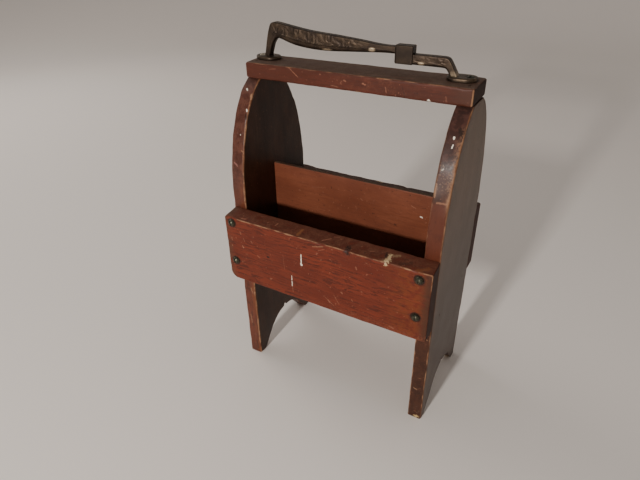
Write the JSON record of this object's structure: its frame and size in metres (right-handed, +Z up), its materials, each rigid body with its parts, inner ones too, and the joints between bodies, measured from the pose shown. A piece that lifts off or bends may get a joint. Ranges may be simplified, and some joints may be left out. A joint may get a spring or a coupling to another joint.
{
  "type": "magazine rack",
  "caption": "Small wooden magazine rack: arched end boards, a rail front and back, a centre divider, a bottom board and a top bar with an ornate cast carrying handle.",
  "frame": {"origin": "on the floor, under the middle of the rack", "axes": "+X along the rails to the right, +Y from the front rail to the rear rail, +Z up"},
  "size_m": [0.271, 0.192, 0.4575],
  "materials": {
    "stained_wood": "worn red-brown stain and old varnish, satin, pale along the edges",
    "divider_wood": "thin board, red-brown stain, satin",
    "antique_metal": "blackened bronze plating, rubbed bright on the high spots",
    "blued_steel": "dark blued steel, satin",
    "bright_steel": "rubbed bright nickelled steel",
    "nail_steel": "dark steel, dull"
  },
  "bodies": {
    "root": {"end_board_left": "stained_wood", "end_board_right": "stained_wood", "front_rail": "stained_wood", "rear_rail": "stained_wood", "bottom_board": "stained_wood", "centre_divider": "divider_wood", "top_bar": "stained_wood", "carry_handle": "antique_metal", "front_screw_left_top": "blued_steel", "front_screw_left_low": "blued_steel", "front_screw_right_top": "blued_steel", "front_screw_right_low": "blued_steel", "rear_screw_left_top": "blued_steel", "rear_screw_left_low": "blued_steel", "rear_screw_right_top": "blued_steel", "rear_screw_right_low": "blued_steel", "handle_screw_left": "bright_steel", "handle_screw_right": "blued_steel", "bar_nails_left": "nail_steel", "bar_nails_right": "nail_steel", "bottom_nails_left": "nail_steel", "bottom_nails_right": "nail_steel"}
  },
  "joints": []
}
